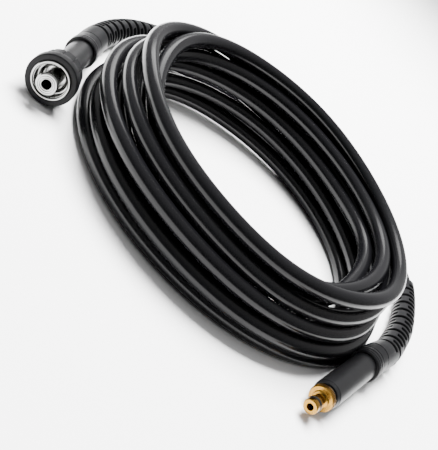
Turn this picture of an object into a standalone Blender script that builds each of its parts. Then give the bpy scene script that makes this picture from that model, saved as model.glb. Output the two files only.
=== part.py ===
"""Pressure washer hose: a coiled high-pressure hose with a swivel nut on one end and a brass plug on the other.

Blender 4.5 source of the CAD solids. Metres, +Z up, the coil lies flat on the floor with its axis vertical, and both
ends come out of the coil's back and run forward (-Y) along its left and right sides.
"""
import math

import bmesh
import bpy
from mathutils import Vector

MM = 0.001

# Placing: the coil's axis stands at COIL_X, COIL_Y so that the whole part is centred on the origin.
COIL_X, COIL_Y = 5.11, -18.34

# Hose.
HOSE_R = 5.5
GAP = 0.3

# Coil: centres (radius from the coil's axis, height) of the turns that show on the turned solid.
TURNS_OUTER = [(118.5, 54.5), (122.5, 43.0), (126.5, 31.0), (127.8, 18.5), (124.5, HOSE_R)]
TURNS_UNDER = [(113.7, HOSE_R)]
TURNS_INNER = [(103.0, HOSE_R), (103.5, 17.0), (103.5, 28.5), (104.8, 40.0), (108.0, 49.5)]
RING_X, RING_Y = -2.5, -2.5
GROOVE_ANGLE = math.radians(25.0)
ARC_STEPS = 4
COIL_STEPS = 64

# Nut end (inlet): distances run back from the nut's front face.
INLET_FACE = (-132.9, -90.8, 17.25)
INLET_YAW, INLET_DIP = math.radians(14.0), math.radians(-4.0)
NUT_RING_R, NUT_RING_L = 16.45, 7.5
NUT_BODY_R, NUT_L, NUT_GROOVE_R = 14.6, 21.0, 13.6
NUT_BLOCKS = 12
NUT_GROOVE_SHARE = 0.16
NUT_FLANK = 0.8
BLOCK_STEPS = 3
NUT_CHAMFER = 0.8
INSERT_R, INSERT_PROUD, INSERT_L = 12.4, 1.5, 19.0
INSERT_CHAMFER = 0.4
THREAD_R, THREAD_L = 10.9, 5.2
NIPPLE_R, NIPPLE_FRONT, NIPPLE_HEAD_L = 7.0, -9.3, 3.0
NIPPLE_FLANGE_L = 2.5
NIPPLE_NECK_R, NIPPLE_BORE_R, NIPPLE_CHAMFER = 5.2, 3.1, 0.7
INSERT_NECK_R = NIPPLE_NECK_R + GAP
SOCKET_R, SOCKET_L = NIPPLE_R + GAP, 17.0
INLET_SLEEVE_FRONT = NUT_L + 2.0 * GAP
FERRULE_RECESS = 0.8
INLET_COLLAR = 71.0

# Brass end (outlet): distances run back from the plug's tip.
OUTLET_TIP = (110.6, -131.8, 8.5)
OUTLET_YAW, OUTLET_DIP = math.radians(-16.2), math.radians(2.1)
PLUG_BORE_R = 2.2
TIP_R, TIP_L, TIP_CHAMFER = 4.7, 3.6, 0.8
O_RING_L, O_RING_R, O_RING_STEPS = 2.4, 4.9, 8
NECK_R = 3.6
FLANGE_R, FLANGE_FRONT, FLANGE_BACK = 8.35, 14.0, 18.2
SHANK_R = 4.0
OUTLET_SLEEVE_FRONT = 21.0
OUTLET_COLLAR = 81.0

# Shared by both ends.
SLEEVE_R, SLEEVE_BORE_R = 9.15, 8.25
FERRULE_R, FERRULE_L, FERRULE_WALL_L = SLEEVE_BORE_R - GAP, 27.0, 5.0
FERRULE_SOCKET_R = HOSE_R + GAP
EDGE = 0.4
SLEEVE_IN_COLLAR = 11.5
BOOT_BORE_R = HOSE_R + 2.0 * GAP
COLLAR_BORE_R = SLEEVE_R + GAP
BOOT_L = 175.0
BOOT_SHAPE = [(0.0, 10.7), (0.8, 11.3), (9.0, 11.3), (9.8, 10.9), (32.0, 10.6), (50.0, 10.3), (70.0, 9.6),
              (92.0, 8.8), (115.0, 8.0), (138.0, 7.3), (160.0, 6.8), (BOOT_L, 6.5)]
BOOT_COLLAR_STOPS = 5
BOOT_BORE_CLEAR = 1.0
BOOT_STEP = 8.0
ROUND_STEPS = 32
BOOT_STEPS = 24

# Routes of the two free ends, from the collar back into the coil (coil frame, mm).
INLET_ROUTE = [(-156.6, 4.1, 11.4), (-161.4, 27.5, 10.8), (-164.8, 48.6, 10.2), (-165.9, 70.1, 9.4),
               (-165.2, 90.6, 8.6), (-163.1, 109.7, 7.8), (-158.6, 128.0, 7.3), (-148.5, 146.0, 6.8),
               (-130.0, 161.5, 6.1), (-105.0, 167.0, 5.7), (-78.0, 162.5, 5.7), (-53.0, 151.5, 5.7),
               (-30.0, 138.5, 5.7), (-8.0, 129.0, 5.7), (14.0, 123.5, 5.7)]
OUTLET_ROUTE = [(147.3, -12.0, 11.3), (151.1, 8.2, 11.0), (154.1, 29.9, 10.5), (156.1, 53.1, 9.8),
                (156.4, 77.0, 9.0), (155.0, 100.2, 8.0), (151.5, 120.0, 7.2), (143.5, 140.0, 6.3),
                (127.0, 156.5, 5.8), (103.0, 163.5, 5.7), (77.0, 160.5, 5.7), (53.0, 151.5, 5.7),
                (30.0, 138.5, 5.7), (8.0, 129.0, 5.7), (-14.0, 123.5, 5.7)]
TAIL_STEP = 14.0
ROUTE_FINE = 24
TANGENT_STEP = 0.5
STRAIGHT_PAST_SLEEVE = (1.0, 5.0)
TUBE_RESOLUTION = 4
TOUCH_STEP, TOUCH_STEPS = 0.1, 16

MATERIALS = {
    "hose_pvc_black": ((0.030, 0.030, 0.032), 0.0, 0.35),
    "boot_plastic_black": ((0.040, 0.040, 0.042), 0.0, 0.55),
    "grip_plastic_black": ((0.045, 0.045, 0.048), 0.0, 0.50),
    "nickel_plated": ((0.72, 0.72, 0.72), 1.0, 0.22),
    "brass": ((0.62, 0.42, 0.17), 1.0, 0.28),
    "o_ring_rubber": ((0.015, 0.015, 0.015), 0.0, 0.45),
}


MADE_MATERIALS = {}


def material(name):
    """The Principled material called name, made once."""
    if name not in MADE_MATERIALS:
        colour, metallic, roughness = MATERIALS[name]
        made = bpy.data.materials.new(name)
        made.use_nodes = True
        shader = made.node_tree.nodes["Principled BSDF"]
        shader.inputs["Base Color"].default_value = (*colour, 1.0)
        shader.inputs["Metallic"].default_value = metallic
        shader.inputs["Roughness"].default_value = roughness
        MADE_MATERIALS[name] = made
    return MADE_MATERIALS[name]


def place(point):
    """A coil-frame point in millimetres as a scene point in metres."""
    return Vector(((point[0] + COIL_X) * MM, (point[1] + COIL_Y) * MM, point[2] * MM))


def add_mesh(name, points, faces, finish):
    """A closed mesh object from scene points and faces, its normals turned outward."""
    mesh = bpy.data.meshes.new(name)
    mesh.from_pydata([tuple(p) for p in points], [], faces)
    body = bmesh.new()
    body.from_mesh(mesh)
    bmesh.ops.recalc_face_normals(body, faces=body.faces)
    body.to_mesh(mesh)
    body.free()
    mesh.materials.append(material(finish))
    made = bpy.data.objects.new(name, mesh)
    bpy.context.collection.objects.link(made)
    return made


class Axis:
    """A straight fitting axis: a start point, the direction back along it and two directions across it."""

    def __init__(self, start, yaw, rise):
        self.start = Vector(start)
        self.back = Vector((-math.sin(yaw) * math.cos(rise), math.cos(yaw) * math.cos(rise), math.sin(rise)))
        self.side = Vector((math.cos(yaw), math.sin(yaw), 0.0))
        self.up = self.side.cross(self.back)

    def at(self, distance, radius=0.0, angle=0.0):
        """The point at a distance back along the axis, out by radius at angle."""
        return (self.start + self.back * distance
                + (self.side * math.cos(angle) + self.up * math.sin(angle)) * radius)


def loft(name, rings, finish, closed_ring):
    """A closed body through equal rings of points: closed_ring joins the last ring to the first, else both are
    capped."""
    count = len(rings[0])
    points = [p for ring in rings for p in ring]
    faces = []
    spans = len(rings) if closed_ring else len(rings) - 1
    for k in range(spans):
        a, b = k * count, ((k + 1) % len(rings)) * count
        for i in range(count):
            j = (i + 1) % count
            faces.append((a + i, a + j, b + j, b + i))
    if not closed_ring:
        faces.append(tuple(range(count)))
        faces.append(tuple(range((len(rings) - 1) * count, len(rings) * count)))
    return add_mesh(name, points, faces, finish)


def turn(name, axis, profile, finish, steps=ROUND_STEPS):
    """A body turned about axis from a closed profile of (distance, radius) that goes round its bore."""
    rings = []
    for k in range(steps):
        angle = 2.0 * math.pi * k / steps
        rings.append([place(axis.at(d, r, angle)) for d, r in profile])
    return loft(name, rings, finish, closed_ring=True)


def smooth_route(points):
    """A dense smooth curve through the points (Catmull-Rom)."""
    pts = [Vector(p) for p in points]
    pts = [pts[0] * 2 - pts[1]] + pts + [pts[-1] * 2 - pts[-2]]
    dense = []
    for a, b, c, d in zip(pts, pts[1:], pts[2:], pts[3:]):
        for k in range(ROUTE_FINE):
            t = k / ROUTE_FINE
            dense.append(0.5 * ((2 * b) + (c - a) * t + (2 * a - 5 * b + 4 * c - d) * t * t
                                + (3 * b - 3 * c + d - a) * t ** 3))
    dense.append(pts[-2])
    return dense


class Route:
    """A smooth centreline that can be read by distance."""

    def __init__(self, points):
        self.dense = smooth_route(points)
        self.run = [0.0]
        for a, b in zip(self.dense, self.dense[1:]):
            self.run.append(self.run[-1] + (b - a).length)
        self.length = self.run[-1]

    def at(self, distance):
        """The point at a distance along the route."""
        distance = min(max(distance, 0.0), self.length)
        k = next(i for i in range(1, len(self.run)) if self.run[i] >= distance)
        share = (distance - self.run[k - 1]) / (self.run[k] - self.run[k - 1])
        return self.dense[k - 1].lerp(self.dense[k], share)

    def circle(self, distance, radius, steps):
        """The points of the circle across the route at a distance."""
        along = (self.at(distance + TANGENT_STEP) - self.at(distance - TANGENT_STEP)).normalized()
        side = along.cross(Vector((0, 0, 1))).normalized()
        up = side.cross(along)
        centre = self.at(distance)
        return [centre + (side * math.cos(a) + up * math.sin(a)) * radius
                for a in (2.0 * math.pi * i / steps for i in range(steps))]

    def ring(self, distance, radius, steps):
        """The same circle's points in the scene."""
        return [place(p) for p in self.circle(distance, radius, steps)]


def coil_profile():
    """The coil's closed (radius, height) outline: an arc for each turn that shows, with grooves between them."""
    turns = TURNS_OUTER + TURNS_UNDER + TURNS_INNER
    outline = []
    for k, (r, z) in enumerate(turns):
        before, after = turns[k - 1], turns[(k + 1) % len(turns)]
        start = math.atan2(before[1] - z, before[0] - r) - GROOVE_ANGLE
        end = math.atan2(after[1] - z, after[0] - r) + GROOVE_ANGLE
        while end > start:
            end -= 2.0 * math.pi
        for i in range(ARC_STEPS + 1):
            a = start + (end - start) * i / ARC_STEPS
            outline.append((r + HOSE_R * math.cos(a), z + HOSE_R * math.sin(a)))
    return outline


def make_coil():
    """The wound turns as one turned ring."""
    rings = []
    for k in range(COIL_STEPS):
        a = 2.0 * math.pi * k / COIL_STEPS
        rings.append([place((RING_X + r * math.cos(a), RING_Y + r * math.sin(a), z)) for r, z in coil_profile()])
    return loft("hose_coil", rings, "hose_pvc_black", closed_ring=True)


def meets_coil(route, distance):
    """Whether the hose's surface at a distance along the route comes within the gap of a turn of the coil."""
    for point in route.circle(distance, HOSE_R, TOUCH_STEPS):
        out = math.hypot(point.x - RING_X, point.y - RING_Y)
        if any(math.hypot(out - r, point.z - z) < HOSE_R + GAP for r, z in TURNS_OUTER):
            return True
    return False


def make_tail(name, route, start, collar):
    """A free end of the hose: a round tube along the route, from inside the ferrule to the coil's side."""
    end = collar + BOOT_L
    while end < route.length and not meets_coil(route, end + TOUCH_STEP):
        end += TOUCH_STEP
    count = max(2, round((end - start) / TAIL_STEP))
    curve = bpy.data.curves.new(name, "CURVE")
    curve.dimensions = "3D"
    curve.bevel_depth = HOSE_R * MM
    curve.bevel_resolution = TUBE_RESOLUTION
    curve.use_fill_caps = True
    spline = curve.splines.new("POLY")
    spline.points.add(count)
    for i in range(count + 1):
        p = place(route.at(start + (end - start) * i / count))
        spline.points[i].co = (p.x, p.y, p.z, 1.0)
    curve.materials.append(material("hose_pvc_black"))
    made = bpy.data.objects.new(name, curve)
    bpy.context.collection.objects.link(made)
    return made


def radius_at(shape, distance):
    """The radius of a (distance, radius) shape at a distance."""
    for (a, ra), (b, rb) in zip(shape, shape[1:]):
        if distance <= b:
            return ra + (rb - ra) * (distance - a) / (b - a)
    return shape[-1][1]


def make_boot(name, route, collar):
    """A bend protector along the route: its outside, then back along its bore."""
    stops = [d for d, _ in BOOT_SHAPE[:BOOT_COLLAR_STOPS]]
    distance = stops[-1]
    while distance + BOOT_STEP < BOOT_L:
        distance += BOOT_STEP
        stops.append(distance)
    stops[-1] = BOOT_L
    rings = [route.ring(collar + d, radius_at(BOOT_SHAPE, d), BOOT_STEPS) for d in stops]
    bore_start = SLEEVE_IN_COLLAR + GAP
    inner = [d for d in stops if d > bore_start + BOOT_BORE_CLEAR]
    for d in reversed(inner):
        rings.append(route.ring(collar + d, BOOT_BORE_R, BOOT_STEPS))
    rings.append(route.ring(collar + bore_start, BOOT_BORE_R, BOOT_STEPS))
    rings.append(route.ring(collar + bore_start, COLLAR_BORE_R, BOOT_STEPS))
    rings.append(route.ring(collar, COLLAR_BORE_R, BOOT_STEPS))
    return loft(name, rings, "boot_plastic_black", closed_ring=True)


def make_sleeve(name, axis, front, collar):
    """The smooth sleeve between the fitting and the boot, open right through."""
    back = collar + SLEEVE_IN_COLLAR
    turn(name, axis, [(front, SLEEVE_BORE_R), (front, SLEEVE_R - EDGE), (front + EDGE, SLEEVE_R), (back, SLEEVE_R),
                      (back, SLEEVE_BORE_R)], "boot_plastic_black")


def make_ferrule(name, axis, front, shank_r):
    """The crimp ferrule: a hole for the fitting's shank in front, a socket for the hose behind."""
    wall, back = front + FERRULE_WALL_L, front + FERRULE_L
    turn(name, axis, [(front, shank_r + GAP), (front, FERRULE_R - EDGE), (front + EDGE, FERRULE_R), (back, FERRULE_R),
                      (back, FERRULE_SOCKET_R), (wall, FERRULE_SOCKET_R), (wall, shank_r + GAP)], "nickel_plated")


def make_nut(axis):
    """The swivel nut: the plastic grip with its blocks and the threaded insert in it."""
    bore = INSERT_R + GAP
    block = 2.0 * math.pi / NUT_BLOCKS
    half_groove = block * NUT_GROOVE_SHARE / 2.0
    flank = math.radians(NUT_FLANK)
    rings = []
    for k in range(NUT_BLOCKS):
        left, right = half_groove + flank, block - half_groove - flank
        stops = [(half_groove, NUT_GROOVE_R)]
        stops += [(left + (right - left) * i / BLOCK_STEPS, NUT_BODY_R) for i in range(BLOCK_STEPS + 1)]
        stops += [(block - half_groove, NUT_GROOVE_R)]
        for angle, body in stops:
            profile = [(0.0, bore), (0.0, NUT_RING_R - NUT_CHAMFER), (NUT_CHAMFER, NUT_RING_R),
                       (NUT_RING_L, NUT_RING_R), (NUT_RING_L, body), (NUT_L, body), (NUT_L, bore)]
            rings.append([place(axis.at(d, r, angle + k * block)) for d, r in profile])
    loft("swivel_nut_grip", rings, "grip_plastic_black", closed_ring=True)
    turn("swivel_nut_insert", axis,
         [(-INSERT_PROUD, THREAD_R), (-INSERT_PROUD, INSERT_R - INSERT_CHAMFER),
          (INSERT_CHAMFER - INSERT_PROUD, INSERT_R), (INSERT_L, INSERT_R), (INSERT_L, INSERT_NECK_R),
          (SOCKET_L, INSERT_NECK_R), (SOCKET_L, SOCKET_R), (THREAD_L, SOCKET_R), (THREAD_L, THREAD_R)],
         "nickel_plated")


def make_inlet(axis):
    """The nut end's nipple: its head in front, its neck, the flange that holds the nut and the shank in the ferrule."""
    back = INLET_SLEEVE_FRONT + FERRULE_RECESS + FERRULE_WALL_L
    head_back = NIPPLE_FRONT + NIPPLE_HEAD_L
    flange_back = SOCKET_L - GAP
    flange_front = flange_back - NIPPLE_FLANGE_L
    turn("inlet_nipple", axis,
         [(NIPPLE_FRONT, NIPPLE_BORE_R), (NIPPLE_FRONT, NIPPLE_R - NIPPLE_CHAMFER),
          (NIPPLE_FRONT + NIPPLE_CHAMFER, NIPPLE_R), (head_back, NIPPLE_R), (head_back, NIPPLE_NECK_R),
          (flange_front, NIPPLE_NECK_R), (flange_front, NIPPLE_R), (flange_back, NIPPLE_R),
          (flange_back, NIPPLE_NECK_R), (back, NIPPLE_NECK_R), (back, NIPPLE_BORE_R)], "nickel_plated")


def make_outlet(axis):
    """The brass plug and its O-ring."""
    groove_front, groove_back = TIP_L, TIP_L + O_RING_L
    back = FLANGE_BACK + GAP + FERRULE_WALL_L
    turn("outlet_plug", axis,
         [(0.0, PLUG_BORE_R), (0.0, TIP_R - TIP_CHAMFER), (TIP_CHAMFER, TIP_R), (groove_front, TIP_R),
          (groove_front, NECK_R), (FLANGE_FRONT, NECK_R), (FLANGE_FRONT, FLANGE_R - EDGE),
          (FLANGE_FRONT + EDGE, FLANGE_R), (FLANGE_BACK, FLANGE_R), (FLANGE_BACK, SHANK_R), (back, SHANK_R),
          (back, PLUG_BORE_R)], "brass")
    middle = (groove_front + groove_back) / 2.0
    half_l, inner = O_RING_L / 2.0 - GAP, NECK_R + GAP
    half_r = (O_RING_R - inner) / 2.0
    ring = [(middle + half_l * math.cos(a), inner + half_r + half_r * math.sin(a))
            for a in (2.0 * math.pi * i / O_RING_STEPS for i in range(O_RING_STEPS))]
    turn("outlet_o_ring", axis, ring, "o_ring_rubber")


def straight_then(axis, collar, route):
    """Route points: along the straight fitting first, then the measured ones."""
    stops = [0.0, collar / 2.0, collar, collar + SLEEVE_IN_COLLAR / 2.0]
    stops += [collar + SLEEVE_IN_COLLAR + past for past in STRAIGHT_PAST_SLEEVE]
    return [axis.at(d) for d in stops] + [Vector(p) for p in route]


def main():
    """Builds every piece."""
    for old in list(bpy.data.objects):
        bpy.data.objects.remove(old, do_unlink=True)
    make_coil()
    inlet = Axis(INLET_FACE, INLET_YAW, INLET_DIP)
    outlet = Axis(OUTLET_TIP, OUTLET_YAW, OUTLET_DIP)
    inlet_route = Route(straight_then(inlet, INLET_COLLAR, INLET_ROUTE))
    outlet_route = Route(straight_then(outlet, OUTLET_COLLAR, OUTLET_ROUTE))
    inlet_ferrule_front = INLET_SLEEVE_FRONT + FERRULE_RECESS
    outlet_ferrule_front = FLANGE_BACK + GAP
    make_nut(inlet)
    make_inlet(inlet)
    make_outlet(outlet)
    make_ferrule("inlet_ferrule", inlet, inlet_ferrule_front, NIPPLE_NECK_R)
    make_ferrule("outlet_ferrule", outlet, outlet_ferrule_front, SHANK_R)
    make_sleeve("inlet_sleeve", inlet, INLET_SLEEVE_FRONT, INLET_COLLAR)
    make_sleeve("outlet_sleeve", outlet, OUTLET_SLEEVE_FRONT, OUTLET_COLLAR)
    make_boot("inlet_bend_protector", inlet_route, INLET_COLLAR)
    make_boot("outlet_bend_protector", outlet_route, OUTLET_COLLAR)
    make_tail("hose_tail_inlet", inlet_route, inlet_ferrule_front + FERRULE_WALL_L + GAP, INLET_COLLAR)
    make_tail("hose_tail_outlet", outlet_route, outlet_ferrule_front + FERRULE_WALL_L + GAP, OUTLET_COLLAR)


main()
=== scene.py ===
"""Dresses the coiled pressure washer hose: the hose itself, its two bend protectors and its two end fittings.

Lengths are in millimetres until a point is placed. Every finished mesh is in metres in the CAD model's frame.
"""
from __future__ import annotations

import logging
import math
from dataclasses import dataclass
from enum import Enum

import bmesh
import bpy
import numpy as np
from bpy.types import Material, Mesh, Node, NodeSocket, NodeTree, Object
from mathutils import Matrix, Vector

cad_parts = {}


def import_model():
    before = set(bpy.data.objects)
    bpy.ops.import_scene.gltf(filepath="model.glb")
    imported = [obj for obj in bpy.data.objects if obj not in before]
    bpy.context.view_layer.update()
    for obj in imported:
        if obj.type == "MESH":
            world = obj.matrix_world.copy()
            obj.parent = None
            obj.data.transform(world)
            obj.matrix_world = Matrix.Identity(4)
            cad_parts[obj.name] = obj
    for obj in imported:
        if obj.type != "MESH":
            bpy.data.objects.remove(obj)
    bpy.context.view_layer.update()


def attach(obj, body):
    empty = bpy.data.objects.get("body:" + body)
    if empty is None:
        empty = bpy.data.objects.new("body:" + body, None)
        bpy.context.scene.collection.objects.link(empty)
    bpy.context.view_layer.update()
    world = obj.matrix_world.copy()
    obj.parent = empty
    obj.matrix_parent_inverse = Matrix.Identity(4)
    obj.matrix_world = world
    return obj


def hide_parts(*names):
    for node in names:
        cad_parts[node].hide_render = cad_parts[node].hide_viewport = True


LOG = logging.getLogger("pressure_washer_hose")
MM = 0.001
# Where the coil's axis stands in the CAD frame, in millimetres.
COIL_AXIS = (5.11, -18.34)
# A rounding takes at most this share of the side beside its corner.
ROUNDING_SHARE = 0.45
Corner = tuple[float, ...]
Point = tuple[float, float, float]
Turns = tuple[tuple[tuple[float, ...], tuple[float, ...]], ...]


class Body(Enum):
    """The CAD bodies that the pieces ride on."""

    HOSE = "hose"
    NUT = "swivel_nut"


class Slot(Enum):
    """The material slots."""

    HOSE = "hose_pvc"
    BOOT = "boot_plastic"
    SLEEVE = "sleeve_plastic"
    GRIP = "grip_plastic"
    NICKEL = "nickel_plated"
    BRASS = "brass"
    O_RING = "o_ring_rubber"


class Surface(Enum):
    """How a finish is textured: moulded grain, hose wall over its braid, or fine rings left by the lathe."""

    MOULDED = "moulded"
    HOSE_WALL = "hose_wall"
    TURNED = "turned"


def put_in_scene(name: str, data: bpy.types.ID) -> Object:
    """Makes an object of a mesh, lamp or camera and links it to the scene."""
    made = bpy.data.objects.new(name, data)
    bpy.context.scene.collection.objects.link(made)
    return made


def linear(hex_colour: str) -> tuple[float, float, float, float]:
    """Turns an sRGB hex colour to linear values.

    Args:
        hex_colour: Six hex digits, such as "1c1c1e".
    Returns:
        The linear red, green and blue, and an alpha of 1.
    """
    values = [int(hex_colour[i:i + 2], 16) / 255.0 for i in (0, 2, 4)]
    red, green, blue = (v / 12.92 if v <= 0.04045 else ((v + 0.055) / 1.055) ** 2.4 for v in values)
    return red, green, blue, 1.0


def add_node(tree: NodeTree, kind: str, settings: dict | None = None, inputs: dict | None = None) -> Node:
    """Adds a node with its settings and its links.

    Args:
        tree: The tree that gets the node.
        kind: The node's type name.
        settings: Attributes of the node by name.
        inputs: A value, or a socket to link from, for each input by name or number.
    Returns:
        The new node.
    """
    node = tree.nodes.new(kind)
    for name, value in (settings or {}).items():
        setattr(node, name, value)
    for name, value in (inputs or {}).items():
        socket = node.inputs[name]
        if isinstance(value, NodeSocket):
            tree.links.new(value, socket)
        else:
            socket.default_value = value
    return node


@dataclass(frozen=True)
class Finish:
    """One real finish: what it is made of, its colours and the size of what textures it."""

    name: str
    slot: Slot
    surface: Surface
    colour: str
    worn_colour: str
    roughness: tuple[float, float]
    metallic: float = 0.0
    ior: float = 1.5
    grain_mm: float = 0.5
    relief_mm: float = 0.02
    patch_mm: float = 25.0

    def coordinates(self, tree: NodeTree) -> NodeSocket:
        """Gives the texture vector in metres: along the hose, along the lathe axis, or in the object.

        Args:
            tree: The material's node tree.
        Returns:
            The vector output.
        """
        if self.surface is Surface.MOULDED:
            return add_node(tree, "ShaderNodeTexCoord").outputs["Object"]
        name = "hose_run" if self.surface is Surface.HOSE_WALL else "lathe"
        return add_node(tree, "ShaderNodeAttribute", {"attribute_name": name}).outputs["Vector"]

    def relief(self, tree: NodeTree, vector: NodeSocket) -> NodeSocket:
        """Gives the height that the light catches.

        Args:
            tree: The material's node tree.
            vector: The texture vector in metres.
        Returns:
            The height output, from 0 to 1.
        """
        stretch = {Surface.MOULDED: (1.0, 1.0, 1.0), Surface.HOSE_WALL: (1.0, 1.0, 0.25),
                   Surface.TURNED: (0.0, 1.0, 1.0)}[self.surface]
        spread = add_node(tree, "ShaderNodeMapping", inputs={"Vector": vector, "Scale": stretch})
        grain = add_node(tree, "ShaderNodeTexNoise", inputs={
            "Vector": spread.outputs["Vector"], "Scale": 1.0 / (self.grain_mm * MM), "Detail": 3.0,
            "Roughness": 0.6})
        return grain.outputs["Fac"]

    def build(self) -> Material:
        """Makes the material.

        Returns:
            The material, with its colour, roughness and bump from its nodes.
        """
        material = bpy.data.materials.new(self.name)
        material.use_nodes = True
        tree = material.node_tree
        shader = tree.nodes["Principled BSDF"]
        vector = self.coordinates(tree)
        patches = add_node(tree, "ShaderNodeTexNoise", inputs={
            "Vector": vector, "Scale": 1.0 / (self.patch_mm * MM), "Detail": 4.0, "Roughness": 0.55})
        height = self.relief(tree, vector)
        shade = add_node(tree, "ShaderNodeMix", {"data_type": "RGBA"}, {
            "Factor": patches.outputs["Fac"], "A": linear(self.colour), "B": linear(self.worn_colour)})
        gloss = add_node(tree, "ShaderNodeMapRange", inputs={
            "Value": patches.outputs["Fac"], "From Min": 0.3, "From Max": 0.7,
            "To Min": self.roughness[0], "To Max": self.roughness[1]})
        bump = add_node(tree, "ShaderNodeBump", inputs={
            "Height": height, "Strength": 1.0, "Distance": self.relief_mm * MM})
        tree.links.new(shade.outputs[2], shader.inputs["Base Color"])
        tree.links.new(gloss.outputs["Result"], shader.inputs["Roughness"])
        tree.links.new(bump.outputs["Normal"], shader.inputs["Normal"])
        shader.inputs["Metallic"].default_value = self.metallic
        if self.metallic == 0.0:
            shader.inputs["IOR"].default_value = self.ior
        return material


class Palette:
    """Every finish on the hose, each built once."""

    # Extruded plasticised PVC: smooth and satin, so each turn carries one crisp light line.
    HOSE_PVC = Finish("extruded_pvc", Slot.HOSE, Surface.HOSE_WALL, "08080a", "0d0d0e", (0.18, 0.25),
                      ior=1.28, grain_mm=1.2, relief_mm=0.012, patch_mm=40.0)
    # Injection moulded soft plastic: a fine spark-eroded grain that spreads the light.
    BOOT = Finish("moulded_soft_plastic", Slot.BOOT, Surface.MOULDED, "08080a", "0d0d0e", (0.40, 0.52),
                  ior=1.28, grain_mm=0.35, relief_mm=0.02, patch_mm=20.0)
    # Injection moulded nylon, smoother than the boots.
    SLEEVE = Finish("moulded_nylon", Slot.SLEEVE, Surface.MOULDED, "0b0b0c", "111112", (0.36, 0.46),
                    ior=1.38, grain_mm=0.35, relief_mm=0.012, patch_mm=18.0)
    # Glass filled nylon: the dull, slightly mottled black of a hand grip.
    GRIP = Finish("glass_filled_nylon", Slot.GRIP, Surface.MOULDED, "09090a", "101011", (0.46, 0.58),
                  ior=1.25, grain_mm=0.4, relief_mm=0.02, patch_mm=12.0)
    # Bright nickel over turned brass: mirror-like, with faint rings from the lathe.
    NICKEL = Finish("bright_nickel_plate", Slot.NICKEL, Surface.TURNED, "a4a4a2", "90908e", (0.14, 0.26),
                    metallic=1.0, grain_mm=0.25, relief_mm=0.004, patch_mm=6.0)
    # Machined free-cutting brass: warm and satin, with rings from the lathe.
    BRASS = Finish("machined_brass", Slot.BRASS, Surface.TURNED, "b08438", "8f6a2b", (0.22, 0.32),
                   metallic=1.0, grain_mm=0.3, relief_mm=0.006, patch_mm=5.0)
    # Moulded nitrile rubber: smooth, oily black.
    RUBBER = Finish("nitrile_rubber", Slot.O_RING, Surface.MOULDED, "0e0e0e", "151515", (0.30, 0.40),
                    ior=1.52, grain_mm=0.3, relief_mm=0.005, patch_mm=5.0)

    def __init__(self) -> None:
        """Starts with nothing built."""
        self.built: dict[str, Material] = {}

    def get(self, finish: Finish) -> Material:
        """The material of a finish, made on first use."""
        if finish.name not in self.built:
            self.built[finish.name] = finish.build()
        return self.built[finish.name]


def place(point: Vector | Point) -> Vector:
    """Places a point.

    Args:
        point: A point in millimetres from the coil's axis on the floor.
    Returns:
        The same point in metres in the CAD frame.
    """
    return Vector(((point[0] + COIL_AXIS[0]) * MM, (point[1] + COIL_AXIS[1]) * MM, point[2] * MM))


def rounded(corners: list[Corner], steps: int = 3) -> list[tuple[float, float]]:
    """Rounds the corners of a closed profile.

    Args:
        corners: (distance, radius) or (distance, radius, rounding) for each corner.
        steps: Points on each rounding, less one.
    Returns:
        The profile's points.
    """
    outline: list[tuple[float, float]] = []
    for i, corner in enumerate(corners):
        here = np.array(corner[:2], float)
        if len(corner) < 3:
            outline.append((float(here[0]), float(here[1])))
            continue
        a, b = (np.array(corners[k % len(corners)][:2], float) - here for k in (i - 1, i + 1))
        far_a, far_b = float(np.linalg.norm(a)), float(np.linalg.norm(b))
        a = a / far_a * min(corner[2], ROUNDING_SHARE * far_a)
        b = b / far_b * min(corner[2], ROUNDING_SHARE * far_b)
        for k in range(steps + 1):
            t = k / steps
            p = here + a * (1.0 - t) ** 2 + b * t ** 2
            outline.append((float(p[0]), float(p[1])))
    return outline


@dataclass
class Axis:
    """The straight axis of a fitting: where it starts and how it points, in millimetres and degrees."""

    start: Point
    yaw: float
    rise: float

    def __post_init__(self) -> None:
        """Works out the three directions."""
        yaw, rise = math.radians(self.yaw), math.radians(self.rise)
        self.back = Vector((-math.sin(yaw) * math.cos(rise), math.cos(yaw) * math.cos(rise), math.sin(rise)))
        self.side = Vector((math.cos(yaw), math.sin(yaw), 0.0))
        self.up = self.side.cross(self.back)

    def at(self, distance: float, radius: float = 0.0, angle: float = 0.0) -> Vector:
        """Finds a point beside the axis.

        Args:
            distance: How far back along the axis.
            radius: How far out from it.
            angle: Which way out, in radians, from the side towards the top.
        Returns:
            The point in millimetres from the coil's axis.
        """
        out = self.side * math.cos(angle) + self.up * math.sin(angle)
        return Vector(self.start) + self.back * distance + out * radius

    def seat(self, distance: float = 0.0) -> dict[str, tuple[float, ...]]:
        """Places what a tree makes in metres about its own Z.

        Args:
            distance: How far back along the axis its origin goes.
        Returns:
            The tree's inputs Turn and Place, which lay local X, Y and Z on up, side and back.
        """
        turn = Matrix((self.up, self.side, self.back)).transposed()
        return {"Turn": tuple(turn.to_euler()), "Place": tuple(place(self.at(distance)))}


def finished(name: str, mesh: Mesh, material: Material, crease: float = 35.0) -> Object:
    """Makes a piece of a mesh: doubles merged, faces outward, smooth but for its real edges.

    Args:
        name: The piece's name.
        mesh: The mesh, in metres in the CAD frame.
        material: Its finish.
        crease: The angle in degrees past which an edge stays sharp.
    Returns:
        The object, at the origin.
    """
    body = bmesh.new()
    body.from_mesh(mesh)
    bmesh.ops.remove_doubles(body, verts=body.verts, dist=1e-7)
    bmesh.ops.recalc_face_normals(body, faces=body.faces)
    body.to_mesh(mesh)
    body.free()
    mesh.materials.clear()
    mesh.materials.append(material)
    for polygon in mesh.polygons:
        polygon.use_smooth = True
        polygon.material_index = 0
    mesh.set_sharp_from_angle(angle=math.radians(crease))
    mesh.name = name
    piece = put_in_scene(name, mesh)
    LOG.info("%s: %d vertices, %d faces", name, len(mesh.vertices), len(mesh.polygons))
    return piece


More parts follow.
